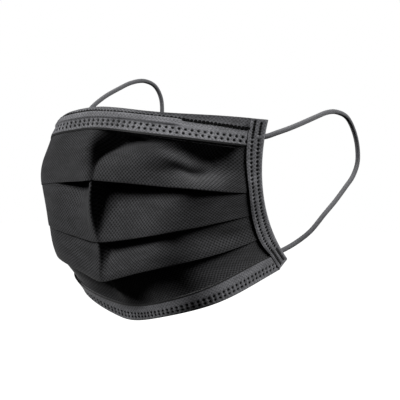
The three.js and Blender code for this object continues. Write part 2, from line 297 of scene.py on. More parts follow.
# %% Routes of the ear loops
LOOP_LEFT = [
    (65.2, 50.5, -6.4), (66.2, 59, -4.2), (66, 70, -1.4), (65.4, 81, 1.4), (64.6, 91.5, 3.8),
    (63.8, 101, 4.4), (63.2, 112, 2), (62.5, 119.6, -4.4), (62.1, 123.8, -12), (62, 124.4, -20.6),
    (61.9, 120.4, -27.6), (61.6, 113.2, -33.6), (61, 105.2, -40), (59.8, 97, -46.4),
    (57.2, 88.4, -54.6), (53.8, 80.4, -60),
]
LOOP_RIGHT = [
    (65, 49, -4.6), (66, 53, 2), (66.2, 59.5, 8.6), (65.9, 69, 14.8), (65.2, 79.5, 19.8),
    (64.4, 89, 23.6), (63.5, 98.5, 25), (62.8, 106.5, 22.6), (62.3, 111, 16.6), (62, 112, 8.4),
    (62, 109.6, -3), (62, 104.6, -14.4), (61.6, 98.4, -26), (60.4, 91.6, -37), (57.6, 84.6, -47),
    (53.8, 78, -55.6),
]
LOOP_TOP, LOOP_BOTTOM = 0.11, 0.92  # places down the cloth where a loop's ends cross the tape
LOOP_LAYER = -2.65  # mm, the flattened ends lie close against the back of the tape


def smooth_line(points, step):
    """A centripetal Catmull-Rom curve through the points, cut into even steps."""
    points = np.asarray(points, float)
    points = np.vstack([2 * points[0] - points[1], points, 2 * points[-1] - points[-2]])
    pieces = []
    for four in zip(points, points[1:], points[2:], points[3:]):
        knots = np.cumsum([0] + [np.linalg.norm(b - a) ** 0.5 for a, b in zip(four, four[1:])])
        t = np.linspace(knots[1], knots[2], 24, endpoint=False)[:, None]

        def blend(a, b, first, last):
            return a + (b - a) * (t - knots[first]) / (knots[last] - knots[first])

        ab, bc, cd = (blend(four[k], four[k + 1], k, k + 1) for k in range(3))
        pieces.append(blend(blend(ab, bc, 0, 2), blend(bc, cd, 1, 3), 1, 2))
    line = np.vstack([*pieces, points[-2:-1]])
    run = np.concatenate([[0], np.cumsum(np.linalg.norm(np.diff(line, axis=0), axis=1))])
    even = np.linspace(0, run[-1], int(round(run[-1] / step)) + 1)
    return np.stack([np.interp(even, run, line[:, k]) for k in range(3)], axis=1), run[-1]


def loop_route(route, side):
    """The whole line of one loop, from its welded end at the top to the one at the bottom."""
    reaches = np.linspace(1 - LOOP_OVERLAP / HALF_WIDTH, 1 + LOOP_OVERLAP / HALF_WIDTH / 2, 4)
    top, bottom = (layer(down, side * reaches, LOOP_LAYER) for down in (LOOP_TOP, LOOP_BOTTOM))
    middle = np.array(route) * (side, 1, 1)
    return smooth_line(np.vstack([top[:3], middle, bottom[:3][::-1]]), 0.5)


loop_lines = {"ear_loop_left": loop_route(LOOP_LEFT, 1), "ear_loop_right": loop_route(LOOP_RIGHT, -1)}
for name, (line, length) in loop_lines.items():
    print(name, "is", round(length, 1), "mm long, in", len(line), "points")

# %% [markdown]
# Every piece of cloth here is a thin sheet with two faces and a cut edge. One helper takes a grid
# of points through the middle of a sheet and gives it thickness along its own normals. Blender's
# Solidify could do that too, but this way both faces keep the same map in millimetres, which the
# embossed pattern needs.

# %% Making sheets
CLOTH_MAP = "cloth_mm"  # the name of the map in millimetres


def new_object(name, points, faces, uv, material):
    """A smooth-shaded mesh object. points in mm; uv one pair in mm for each point."""
    mesh = bpy.data.meshes.new(name)
    mesh.from_pydata((np.asarray(points) * MM).tolist(), [], [tuple(map(int, f)) for f in faces])
    mesh.materials.append(material)
    corners = np.empty(len(mesh.loops), int)
    mesh.loops.foreach_get("vertex_index", corners)
    mesh.uv_layers.new(name=CLOTH_MAP).data.foreach_set("uv", np.asarray(uv)[corners].ravel())
    mesh.set_sharp_from_angle(angle=math.radians(60))
    mesh.validate()
    made = bpy.data.objects.new(name, mesh)
    bpy.context.scene.collection.objects.link(made)
    print(name, "has", sum(len(f) - 2 for f in faces), "triangles")
    return made


def run_along(grid, axis):
    """Distance run along one axis of a grid of points."""
    steps = np.linalg.norm(np.diff(grid, axis=axis), axis=-1)
    start = np.zeros_like(np.take(steps, [0], axis=axis))
    return np.concatenate([start, np.cumsum(steps, axis=axis)], axis=axis)


def sheet_normals(grid):
    """Outward normals of a grid whose rows go down and whose columns go to the wearer's left."""
    return unit(np.cross(np.gradient(grid, axis=0), np.gradient(grid, axis=1)))


def quads(a, b):
    """Faces between two equally long rows of point numbers."""
    return np.stack([a[:-1], b[:-1], b[1:], a[1:]], axis=-1).reshape(-1, 4)


def sheet(name, grid, thickness, material, marks=None, flat_across=None):
    """A closed sheet of cloth about a grid of points. marks go with the points as a value each.
    flat_across is where each column lies in the flat cloth, in mm, if that is known."""
    rows, columns = grid.shape[:2]
    normals = sheet_normals(grid)
    faces_apart = [grid + normals * thickness / 2, grid - normals * thickness / 2]
    points = np.concatenate(faces_apart).reshape(-1, 3)
    number = np.arange(2 * rows * columns).reshape(2, rows, columns)
    front, rear = number
    faces = [quads(front[i], front[i + 1]) for i in range(rows - 1)]
    faces += [quads(rear[i + 1], rear[i]) for i in range(rows - 1)]
    faces += [quads(rear[0], front[0]), quads(front[-1], rear[-1])]
    faces += [quads(front[:, 0], rear[:, 0]), quads(rear[:, -1], front[:, -1])]
    u, v = run_along(grid, 1), run_along(grid, 0)
    u = u - np.take(u, [columns // 2], axis=1)
    if flat_across is not None:
        u, v = flat_across + 0 * u, v.mean(axis=1, keepdims=True) + 0 * v
    uv = np.stack([u, v], axis=-1).reshape(-1, 2)
    made = new_object(name, points, np.concatenate(faces), np.concatenate([uv, uv]), material)
    if marks is not None:
        values = np.concatenate([marks.ravel(), marks.ravel()])
        made.data.attributes.new("fused_and_shaded", "FLOAT", "POINT").data.foreach_set("value", values)
    return made


print("every sheet carries the map", CLOTH_MAP)

# %% [markdown]
# Materials come next, each from what the real one is. Colours are written as the hex values that a
# dyer would match by eye, and one function turns them into the linear light that a shader needs.
# Another small function adds a node with its settings and its links, so that each finish reads as a
# short recipe.

# %% Helpers for finishes
def linear(hex_colour):
    """An sRGB hex colour as linear RGBA."""
    channels = [int(hex_colour[i : i + 2], 16) / 255 for i in (1, 3, 5)]
    return [c / 12.92 if c <= 0.04045 else ((c + 0.055) / 1.055) ** 2.4 for c in channels] + [1.0]


def add(tree, kind, inputs=(), output=None, **settings):
    """Adds a node. inputs go in the order of its sockets, or in a dict by their names or numbers; each
    is a value or another node's output. Returns the node, or the one of its outputs asked for."""
    node = tree.nodes.new(kind)
    for key, value in settings.items():
        setattr(node, key, value)
    for key, value in inputs.items() if isinstance(inputs, dict) else enumerate(inputs):
        if isinstance(value, bpy.types.NodeSocket):
            tree.links.new(value, node.inputs[key])
        else:
            node.inputs[key].default_value = value
    return node if output is None else node.outputs[output]


def finish_named(name, roughness, **constants):
    """A new material with its shader. constants are set on the shader's own sockets."""
    material = bpy.data.materials.new(name)
    material.use_nodes = True
    shader = material.node_tree.nodes["Principled BSDF"]
    shader.inputs["Roughness"].default_value = roughness
    for key, value in constants.items():
        shader.inputs[key.replace("_", " ")].default_value = value
    return material, material.node_tree, shader


def dye(tree, shader, colour, marks):
    """Colours a finish and lets marks make it lighter or darker. Each mark is a pattern, the two ends
    of its range, and how light the colour is at either end, about 1."""
    amount = 1.0
    for mark in marks:
        light = add(tree, "ShaderNodeMapRange", mark, 0, interpolation_type="SMOOTHSTEP")
        amount = add(tree, "ShaderNodeMath", (amount, light), 0, operation="MULTIPLY")
    inputs = {0: linear(colour)[:3], "Scale": amount}
    dyed = add(tree, "ShaderNodeVectorMath", inputs, "Vector", operation="SCALE")
    tree.links.new(dyed, shader.inputs["Base Color"])


RELIEF, RELIEF_STRENGTH = 0.06, 0.7  # mm, how deep pits, fibres and stitches are


def emboss(tree, shader, height):
    """Raises the surface of a finish by a pattern."""
    inputs = {"Height": height, "Distance": RELIEF * MM, "Strength": RELIEF_STRENGTH}
    normal = add(tree, "ShaderNodeBump", inputs, "Normal")
    tree.links.new(normal, shader.inputs["Normal"])


print("half of sRGB in linear light:", round(linear("#808080")[0], 3))

# %% [markdown]
# The outer layer is spunbond polypropylene, dyed black in the melt. Fine fibres are laid at random
# and then run between heated rollers, one of which carries a diamond grid of points. Each point
# leaves a small pit where the fibres have fused: a dark speck, about a millimetre from the next one.
# The fibres between them scatter light softly, so the cloth is matt with a slight sheen at its edges.
#
# The pits follow the cloth, so they are worked out from the map in millimetres that every sheet
# carries. An image could hold the pattern, but a few sums of cosines do it at any size.

# %% Spunbond patterns
PIT_ACROSS, PIT_DOWN = 1.8, 1.6  # mm, the repeat of the grid, drawn a little coarser than life
FIBRE = 0.35  # mm, drawn coarser than the real 0.02 mm so that it shows
CLOUD = 4.0  # mm, the size of thicker and thinner places in the cloth
FIBRE_LAY = 0.35  # fibres lie mostly across the cloth, so their marks are longer that way


def cloth_map(tree):
    """The cloth's own map, and its two coordinates in mm."""
    uv = add(tree, "ShaderNodeUVMap", (), "UV", uv_map=CLOTH_MAP)
    parts = add(tree, "ShaderNodeSeparateXYZ", (uv,))
    return uv, parts.outputs["X"], parts.outputs["Y"]


def diamond_pits(tree, u, v):
    """1 in each fused pit of the diamond grid and 0 between them."""
    a = add(tree, "ShaderNodeMath", (u, 1 / PIT_ACROSS), 0, operation="MULTIPLY")
    b = add(tree, "ShaderNodeMath", (v, 1 / PIT_DOWN), 0, operation="MULTIPLY")
    waves = []
    for sign in ("ADD", "SUBTRACT"):
        slant = add(tree, "ShaderNodeMath", (a, b), 0, operation=sign)
        turn = add(tree, "ShaderNodeMath", (slant, 2 * math.pi), 0, operation="MULTIPLY")
        waves.append(add(tree, "ShaderNodeMath", (turn,), 0, operation="COSINE"))
    both = add(tree, "ShaderNodeMath", waves, 0, operation="ADD")
    return add(tree, "ShaderNodeMapRange", (both, -1.3, 1.9), 0, interpolation_type="SMOOTHSTEP")


def fibres(tree, uv, size, detail=3.0):
    """Uneven laying of the fibres, about 0.5."""
    along = add(tree, "ShaderNodeMapping", {"Vector": uv, "Scale": (FIBRE_LAY, 1, 1)}, "Vector")
    inputs = {"Vector": along, "Scale": 1 / size, "Detail": detail, "Roughness": 0.65}
    return add(tree, "ShaderNodeTexNoise", inputs, "Fac")


print("pits in mm:", PIT_ACROSS, "by", PIT_DOWN)

# %% [markdown]
# Two cloths are needed: the embossed one of the panel, and the smoother one of the hems and tapes,
# which are single plies and look greyer under a lamp. They differ only in colour and in a few
# numbers, so one function makes both. A sheet's own value for fusing and shade makes it darker. At
# the welds it is the black film of the fused plies, with painted shade in the dimples. Along the
# sealed edges it is also a painted shadow line, and on the back ply of the top hem it is painted shade.

# %% Panel cloth and hem cloth
FUSED_AND_SHADED_TONE = 0.05  # how light the cloth is where it is fused, and where painted shade darkens it
BETWEEN_PITS = 0.6  # how much lighter it is between its pits, for each unit of pitted


def spunbond(name, colour, pitted, roughness, **constants):
    """Point-bonded spunbond cloth. pitted is how dark its pits are, from 0 to 1."""
    material, tree, shader = finish_named(name, roughness, **constants)
    uv, u, v = cloth_map(tree)
    pits = diamond_pits(tree, u, v)
    fine, clouds = fibres(tree, uv, FIBRE), fibres(tree, uv, CLOUD, 2.0)
    # the sheet's value for fusing and painted shade, as stored on its points
    fused_and_shaded = add(tree, "ShaderNodeAttribute", (), "Fac", attribute_name="fused_and_shaded")
    marks = [
        (fine, 0.3, 0.7, 0.55, 1.45),
        (clouds, 0.3, 0.7, 0.78, 1.22),
        (pits, 0, 1, 1 + BETWEEN_PITS * pitted, 1 - pitted),
        (fused_and_shaded, 0, 1, 1, FUSED_AND_SHADED_TONE),
    ]
    dye(tree, shader, colour, marks)
    sunk = add(tree, "ShaderNodeMath", (pits, -pitted), 0, operation="MULTIPLY")
    emboss(tree, shader, add(tree, "ShaderNodeMath", (sunk, fine), 0, operation="ADD"))
    return material


outer_cloth = spunbond(
    "black_spunbond_embossed", "#38383a", 1.0, 0.8, Sheen_Weight=0.25, Specular_IOR_Level=0.3
)
hem_cloth = spunbond(
    "black_spunbond_hem", "#808084", 0.4, 0.62, Sheen_Weight=0.3, Specular_IOR_Level=0.4
)
print("cloth finishes:", outer_cloth.name, hem_cloth.name)

# %% [markdown]
# Where the horn of the welder pressed, the fibres have melted into a clear film. It is the same
# polypropylene, but darker, because the black shows through, and a little glossy. It is drawn near
# black, so it is also painted shade at the bottom of each dimple. Pits and fibres are left off, and
# a slow noise stands for the uneven melt.

# %% Weld film
MELT = 0.4  # mm, the size of its uneven spots
weld_film_and_pit_shade, tree, shader = finish_named("fused_polypropylene_pit_shade", 0.5, Specular_IOR_Level=0.15)
position = add(tree, "ShaderNodeTexCoord", (), "Object")
spots = add(tree, "ShaderNodeTexNoise", {"Vector": position, "Scale": 1 / (MELT * MM)}, "Fac")
# near black: the fused film, with painted shade at the bottom of each dimple
dye(tree, shader, "#0b0b0c", [(spots, 0.3, 0.7, 0.6, 1.3)])
print("weld finish:", weld_film_and_pit_shade.name)

# %% [markdown]
# The loops are knitted of polyester over elastane: matt, with fine ribs along the cord. Stitches
# could be modelled, but they are finer than the eye can follow here. Two sine waves on the cord's
# own map, one round it and one along it, give them their size and run straight with the cord.

# %% Knitted elastic
RIBS = 9  # ribs of the knit round the cord
KNIT = 0.8  # mm, one course of the knit, drawn twice as long as life so that it shows
FLUFF = 0.6  # mm, the size of its uneven, hairy spots
elastic, tree, shader = finish_named("knitted_elastic", 0.85, Sheen_Weight=0.3, Specular_IOR_Level=0.25)
uv, u, v = cloth_map(tree)
waves = []
for place, repeat in ((u, 1), (v, KNIT)):
    turn = add(tree, "ShaderNodeMath", (place, 2 * math.pi / repeat), 0, operation="MULTIPLY")
    waves.append(add(tree, "ShaderNodeMath", (turn,), 0, operation="SINE"))
stitches = add(tree, "ShaderNodeMath", waves, 0, operation="MULTIPLY")
fluff = fibres(tree, uv, FLUFF)
dye(tree, shader, "#6f6f72", [(stitches, -1, 1, 0.8, 1.15), (fluff, 0.3, 0.7, 0.9, 1.1)])
emboss(tree, shader, stitches)
print("loop finish:", elastic.name)

# %% [markdown]
# The nose wire is galvanised iron, a dull silver with a faint spangle. A Voronoi pattern has the
# shape of zinc crystals. It hardly shows, inside its hem, but it is finished as what it is.

# %% Galvanised wire
SPANGLE = 1.5  # mm, the size of the zinc crystals
wire_finish, tree, shader = finish_named("galvanised_wire", 0.38, Metallic=1.0)
position = add(tree, "ShaderNodeTexCoord", (), "Object")
inputs = {"Vector": position, "Scale": 1 / (SPANGLE * MM)}
crystals = add(tree, "ShaderNodeTexVoronoi", inputs, "Distance")
dye(tree, shader, "#b5b8ba", [(crystals, 0, 1, 0.85, 1.05)])
print("wire finish:", wire_finish.name)

# %% [markdown]
# The pleated panel is one sheet, and its folds are what the eye sees first: at each pleat the cloth
# turns under a lip, runs back up behind it and comes down again as the next face. At the side tapes
# the pleats are pressed flat on each other. Towards the middle they open, because the mask is
# stretched over nose and chin, and the lip throws a shadow into the pocket below it. Down the
# middle runs the crease in which the mask was folded in its packet: a keel, with the cloth falling
# steeply away on one side.
#
# A cloth simulation would find a shape like this one by itself, but not the same folds each time.
# The folds are known, so how deep each one is gets written down first, place by place.

# %% How deep the pleats are
PANEL_WALL = 0.4  # mm, three layers together
PANEL_TOP, PANEL_FOOT = 0.12, 0.965  # places down the cloth, inside the two hems
LIPS = [ROWS[name]["share"] for name in ("fold1", "fold2", "fold3")]

# How far the cloth runs up behind each lip, as pairs of mm from the crease (minus to the wearer's
# right) and mm.
TUCK = [(-81, 9), (-40, 5), (0, 2.5), (40, 5), (81, 9)]

# One entry for each pleat. inset: how far back the face below the lip starts, as pairs in the same
# way; hollow: above 1 the face comes forward early. The crease stands between its neighbours as a
# keel, and on the wearer's left the cloth falls away from it into the pocket.
PLEATS = [
    dict(
        inset=[
            (-81, 0.3), (-34, 0.5), (-22, 5), (-13, 9), (-5, 6), (0, 1),
            (1.5, 7), (4, 13), (12, 17.5), (30, 13), (56, 6), (81, 0.3),
        ],
        hollow=1.4,
    ),
    dict(
        inset=[
            (-81, 0.5), (-40, 0.6), (-6, 1.4), (0, 0.5),
            (1.5, 4), (4, 7), (18, 6.5), (40, 4.5), (58, 2), (81, 0.3),
        ],
        hollow=1.25,
    ),
    dict(
        inset=[
            (-81, 0.3), (-52, 0.8), (-42, 2.5), (-29, 9), (-12, 12), (0, 7),
            (8, 7.5), (24, 5.5), (44, 4.5), (60, 3), (81, 0.3),
        ],
        hollow=1.0,
    ),
]


def through(pairs, x):
    """A smooth curve through a short table of pairs, which never overshoots them."""
    places, values = np.array(pairs, float).T
    slopes = np.diff(values) / np.diff(places)
    product = slopes[:-1] * slopes[1:]
    inner = np.where(product > 0, 2 * product / np.where(product > 0, slopes[:-1] + slopes[1:], 1), 0)
    leave = np.concatenate([[slopes[0]], inner, [slopes[-1]]])
    x = np.clip(x, places[0], places[-1])
    i = np.clip(np.searchsorted(places, x) - 1, 0, len(places) - 2)
    gap = places[i + 1] - places[i]
    t = (x - places[i]) / gap
    start = (2 * t**3 - 3 * t**2 + 1) * values[i] + (t**3 - 2 * t**2 + t) * gap * leave[i]
    return start + (3 * t**2 - 2 * t**3) * values[i + 1] + (t**3 - t**2) * gap * leave[i + 1]


for number, pleat in enumerate(PLEATS, 1):
    print("pleat", number, "is up to", max(depth for _, depth in pleat["inset"]), "mm deep")

# %% [markdown]
# A cut through the panel, from the top to the foot, is a chain of legs with rounded turns: a face,
# a leg back up behind the lip, and the next face. The cut is drawn for every station across at once,
# as arrays, and then bent with the cloth. Folding a flat mesh with an armature would take a bone for
# each leg, and the depths could not change so freely from side to side.

# %% The folded section
FOLD_RADIUS = 0.9  # mm along each leg that a turn takes
FACE_ROWS, TURN_ROWS = (26, 22, 18, 26), 6  # rows on each face and in each turn of a fold


def turned(start, corner, end, count):
    """A rounded turn between two legs, as count pairs of down and out."""
    for t in np.linspace(0, 1, count):
        from_start, from_corner, from_end = (1 - t) ** 2, 2 * t * (1 - t), t * t
        yield tuple(
            from_start * a + from_corner * b + from_end * c for a, b, c in zip(start, corner, end)
        )


def between(a, b, t):
    """A place a part t of the way from a to b."""
    return tuple(p + (q - p) * t for p, q in zip(a, b))


def panel_section(across):
    """The panel's section at every station: pairs of down and out arrays, from the top."""
    zero = np.zeros_like(across)
    upper, lower = 0.5, 0.62  # two places among the pleats, to find how long the cloth is there
    length = np.linalg.norm(cloth_point(lower, across) - cloth_point(upper, across), axis=-1)
    length = length / (lower - upper)
    turn, tuck = FOLD_RADIUS / length, through(TUCK, across * HALF_WIDTH) / length
    section = []
    start, inset, hollow = PANEL_TOP + zero, zero, 1.0
    ends = [*LIPS, PANEL_FOOT]
    for face, lip in enumerate(ends):
        def on_face(t, start=start, inset=inset, lip=lip, hollow=hollow):
            down = start + (lip - start) * t
            return down, -inset * (1 - t) ** hollow

        first = 0.0 if face == 0 else turn / (lip - start)
        last = 1 - turn / (lip - start) if face < len(LIPS) else 1.0 + zero
        section += [on_face(first + (last - first) * t) for t in np.linspace(0, 1, FACE_ROWS[face])]
        if face == len(LIPS):
            break
        pleat = PLEATS[face]
        next_start, next_inset = lip - tuck, through(pleat["inset"], across * HALF_WIDTH)
        corner, inner = (lip + zero, zero), (next_start, -next_inset)
        near = FOLD_RADIUS / np.hypot(tuck * length, next_inset)
        section += list(turned(section.pop(), corner, between(corner, inner, near), TURN_ROWS))
        steps = np.linspace(0, 1, TURN_ROWS)[1:-1]
        section += [between(corner, inner, near + (1 - 2 * near) * t) for t in steps]
        start, inset, hollow = next_start, next_inset, pleat["hollow"]
        following = ends[face + 1]
        after = (start + turn, -inset * (1 - turn / (following - start)) ** hollow)
        section += list(turned(between(corner, inner, 1 - near), inner, after, TURN_ROWS))[:-1]
    return section


UNDER_TAPE = 0.945  # how far the panel and the hems reach under the tapes
STATIONS = 281
even = np.linspace(-1, 1, STATIONS)
closer = 0.55 * np.abs(even) + 0.45 * np.abs(even) ** 1.6  # closer together near the crease
stations = UNDER_TAPE * np.sign(even) * closer
panel_rows = [
    layer(down, stations, out + swelling(down, stations) - PANEL_WALL / 2)
    for down, out in panel_section(stations)
]
panel_grid = np.stack(panel_rows)
panel = sheet("pleated_cloth", panel_grid, PANEL_WALL, outer_cloth, flat_across=stations * HALF_WIDTH)

# %% [markdown]
# The hems are strips of a smoother spunbond, welded on in two rows of dots. Each dot pulls the ply
# down into a dimple, so the ply is modelled with its dimples, and a pad of fused film is set into
# each of them afterwards. The dots are laid out first, because both need their places.

# %% Rows of welds
DIMPLE = dict(deep=0.28, wide=0.8)  # mm
HEM_FRONT, HEM_BACK, TAPE_FRONT, TAPE_BACK = 0.3, -0.76, 0.7, -1.85  # mm, middles of the plies
PLY_WALL = 0.3  # mm, one ply of a hem or a tape
SEALED_EDGE_AND_SHADOW = 0.9  # mm, the width of the dark line where the edge of a ply is sealed down; it is painted near black, so it is also a painted shadow along that edge
PRESSED, PRESSED_OVER = 0.2, 0.8  # mm by which that edge is pressed down, and over what width


def even_places(places, pitch, shift=0.0):
    """places is a function of one value from 0 to 1. Returns values that lie pitch mm apart."""
    t = np.linspace(0, 1, 1001)
    run = run_along(places(t), 0)
    return np.interp(np.arange(pitch * (0.5 + shift), run[-1], pitch), run, t)


def weld_row(down, across, out, pitch, shift=0.0, bow=0.0):
    """A row of welds from one place to another. down and across are pairs, (from, to). bow is how
    much lower the row is at the side edges."""

    def places(t, lift=0.0):
        reach = across[0] + (across[1] - across[0]) * t
        return layer(down[0] + (down[1] - down[0]) * t + bow * reach**2, reach, out + lift)

    t = even_places(places, pitch, shift)
    step = 0.002
    along = unit(places(t + step) - places(t - step))
    return dict(point=places(t), along=along, out=unit(places(t, 1.0) - places(t)))


def level_row(place, out, pitch, shift=0.0, bow=0.0):
    """A row of welds right across the cloth, between the tapes."""
    return weld_row((place, place), (-UNDER_TAPE, UNDER_TAPE), out, pitch, shift, bow)


def joined(rows):
    """Several rows of welds as one."""
    return {key: np.concatenate([row[key] for row in rows]) for key in rows[0]}


def dimples(grid, welds):
    """How far each point of a grid is pulled in by the welds, and how dark it is drawn, from 0 to 1:
    the fused film, with painted shade at the bottom of the dimple.
    """
    points = grid.reshape(-1, 3)
    nearest = np.full(len(points), 99.0)
    for spot in welds["point"]:
        nearest = np.minimum(nearest, np.linalg.norm(points - spot, axis=1))
    nearest = nearest.reshape(grid.shape[:2]) / DIMPLE["wide"]
    return -DIMPLE["deep"] * np.exp(-(nearest**4)), np.exp(-(nearest**6))


print("a weld's dimple in mm:", DIMPLE)

# %% [markdown]
# The top hem has a front ply, cut with fine teeth along its upper edge, and a back ply that stands
# a little above it. Between the two lies the nose wire, which raises a smooth ridge on either side.
# One ply with a Displace modifier could carry the ridge, but both plies show, with the teeth between
# them, so each is a sheet of its own.

# %% Top hem
HEM_TOP, HEM_FOOT = ROWS["hem"]["share"], ROWS["brow"]["share"]
HEM_WIDTH = 11.5  # mm, from its top to its foot
HEM_STATIONS, HEM_ROWS = 471, 30
HEM_BOW, HEM_NARROWS = 0.018, 0.009  # how much lower its top and higher its foot are at the tapes
BACK_BOW = 0.012  # how much lower the back ply's top is there
BACK_PAINTED_SHADE = 0.33  # painted shade: the back ply is drawn darker than the front one, because it lies in shade
TEETH = dict(pitch=1.8, deep=0.45)  # mm
TOP_WELD_PLACES, TOP_WELD_PITCH = (0.131, 0.156), 2.9  # places down the cloth, and mm
WIRE_TOP, WIRE_BOTTOM, WIRE_REACH = 0.07, 0.105, 0.52  # places down the cloth, and across
RIDGE_FRONT, RIDGE_BACK = 0.75, 0.5  # mm, how high the wire lifts each ply
RIDGE_EDGE, RIDGE_SLOPE = 1.55, 0.5  # half widths of the wire: where it ends, over what it rises
RIDGE_PAST, RIDGE_FADE = 0.05, 0.08  # the same past the ends of the wire, as places across


def wire_ridge(down, across):
    """The height of the ridge over the nose wire, from 0 to 1."""
    middle = (WIRE_TOP + WIRE_BOTTOM) / 2
    half = (WIRE_BOTTOM - WIRE_TOP) / 2
    over = np.clip((RIDGE_EDGE - np.abs(down - middle) / half) / RIDGE_SLOPE, 0, 1)
    end = np.clip((WIRE_REACH + RIDGE_PAST - np.abs(across)) / RIDGE_FADE, 0, 1)
    return (over**2 * (3 - 2 * over)) * (end**2 * (3 - 2 * end))


hem_across = np.linspace(-UNDER_TAPE, UNDER_TAPE, HEM_STATIONS)[None, :]
part = 1 - (1 - np.linspace(0, 1, HEM_ROWS)[:, None]) ** 1.15  # closer together near the foot
tooth = 0.5 + 0.5 * np.cos(2 * math.pi * hem_across * HALF_WIDTH / TEETH["pitch"])
top = HEM_TOP + HEM_BOW * hem_across**2 + TEETH["deep"] / EDGE_LENGTH * tooth**2
hem_down = top + (HEM_FOOT - HEM_NARROWS * hem_across**2 - top) * part
from_foot = (1 - part) * HEM_WIDTH
top_welds = joined([level_row(place, HEM_FRONT, TOP_WELD_PITCH) for place in TOP_WELD_PLACES])
lift = RIDGE_FRONT * wire_ridge(hem_down, hem_across)
lift = lift - PRESSED * np.exp(-((from_foot / PRESSED_OVER) ** 2))
pulled, fused_and_shaded = dimples(layer(hem_down, hem_across, HEM_FRONT), top_welds)
# the lower edge of the front ply is sealed, and painted near black as a shadow line too
fused_and_shaded = np.maximum(fused_and_shaded, from_foot < SEALED_EDGE_AND_SHADOW)
top_hem_grid = layer(hem_down, hem_across, HEM_FRONT + lift + pulled)
top_hem = sheet("top_hem", top_hem_grid, PLY_WALL, hem_cloth, fused_and_shaded)

back_down = BACK_BOW * hem_across**2 + HEM_FOOT * part
back_out = HEM_BACK - RIDGE_BACK * wire_ridge(back_down, hem_across)
back_grid = layer(back_down, hem_across, back_out)
# the whole back ply carries painted shade, so it is drawn darker than the front ply
top_hem_back = sheet("top_hem_back", back_grid, PLY_WALL, hem_cloth, BACK_PAINTED_SHADE + 0 * back_down)

# %% [markdown]
# The nose wire is a flat strip of galvanised iron, pinched over the bridge of the nose. It is drawn
# as a thin sheet between the two plies, bent with them. A plain box and a Curve modifier would make
# it as well, but then it would have to be fitted to the hem by eye.

# %% Nose wire
WIRE_OUT, WIRE_WALL = -0.2, 0.6  # mm
wire_down = np.linspace(WIRE_TOP, WIRE_BOTTOM, 5)[:, None]
wire_across = np.linspace(-WIRE_REACH, WIRE_REACH, 161)[None, :]
nose_wire = sheet("nose_wire_strip", layer(wire_down, wire_across, WIRE_OUT), WIRE_WALL, wire_finish)

# %% [markdown]
# The bottom hem is one strip folded round the lower edge of the panel, so it is one sheet whose
# rows run down the front, round the fold and up the back. Two flat strips would be simpler, but the
# folded edge is the lowest line of the mask and catches the light along its whole length.

# %% Bottom hem
BOTTOM_EDGE = 0.902  # place down the cloth of the upper edge of its front ply
FOLD_STEPS = 7
FOLD_PAST = 0.006  # how far past the foot the folded edge reaches
HEM_TAPER = 0.035  # how much shorter its folded edge is, so that it stays under the tapes
REAR_DROP = 0.005  # how much lower the edge of its rear ply is
FOOT_ROWS, TAPE_COLUMNS = 18, 24  # points on each ply of the bottom hem, and of a tape
MEAN_SPAN = 87.0  # mm to a whole share, near enough down the cloth and across it
BOTTOM_WELDS = ((0.963, 0), (0.986, 0.35))  # places down the cloth, and shifts along the row
BOTTOM_WELD_PITCH = 2.6  # mm


def folded(first, last, edge, front, rear, rows):
    """Pairs of place and out that run along a front ply, round a fold and back along the rear."""
    places = first + (edge - first) * np.linspace(0, 1, rows)
    drop = PRESSED * np.exp(-(((places - first) * MEAN_SPAN / PRESSED_OVER) ** 2))
    section = list(zip(places, front - drop))
    middle, radius = (front + rear) / 2, (front - rear) / 2
    for angle in np.linspace(0, math.pi, FOLD_STEPS)[1:-1]:
        place = edge + radius / HALF_WIDTH * math.sin(angle)
        section.append((place, middle + radius * math.cos(angle)))
    return section + [(edge + (last - edge) * t, rear) for t in np.linspace(0, 1, rows)]


rear_edge = BOTTOM_EDGE + REAR_DROP
section = np.array(folded(BOTTOM_EDGE, rear_edge, 1 + FOLD_PAST, HEM_FRONT, HEM_BACK, FOOT_ROWS))
foot_down, foot_out = (section[:, k][:, None] + 0 * hem_across for k in (0, 1))
past_edge = np.clip((foot_down - BOTTOM_EDGE) / (1 - BOTTOM_EDGE), 0, 1)
foot_across = hem_across * (1 - HEM_TAPER * past_edge)
foot_rows = [level_row(place, HEM_FRONT, BOTTOM_WELD_PITCH, shift) for place, shift in BOTTOM_WELDS]
foot_welds = joined(foot_rows)
pulled, fused_and_shaded = dimples(layer(foot_down, foot_across, foot_out), foot_welds)
# the upper edges of both plies are sealed, and painted near black as a shadow line too
fused_and_shaded = np.maximum(fused_and_shaded, np.abs(section[:, :1] - BOTTOM_EDGE) * EDGE_LENGTH < SEALED_EDGE_AND_SHADOW)
foot_grid = layer(foot_down, foot_across, foot_out + pulled)
bottom_hem = sheet("bottom_hem", foot_grid, PLY_WALL, hem_cloth, fused_and_shaded)

# %% [markdown]
# A side tape is folded round the edge of the whole pack of pleats and welded in two staggered rows.
# At its two ends, where the loops are held, the rows are closed up into dense bars. It is made in
# the same way as the bottom hem, turned by a quarter, so that its fold and its dimples look alike.

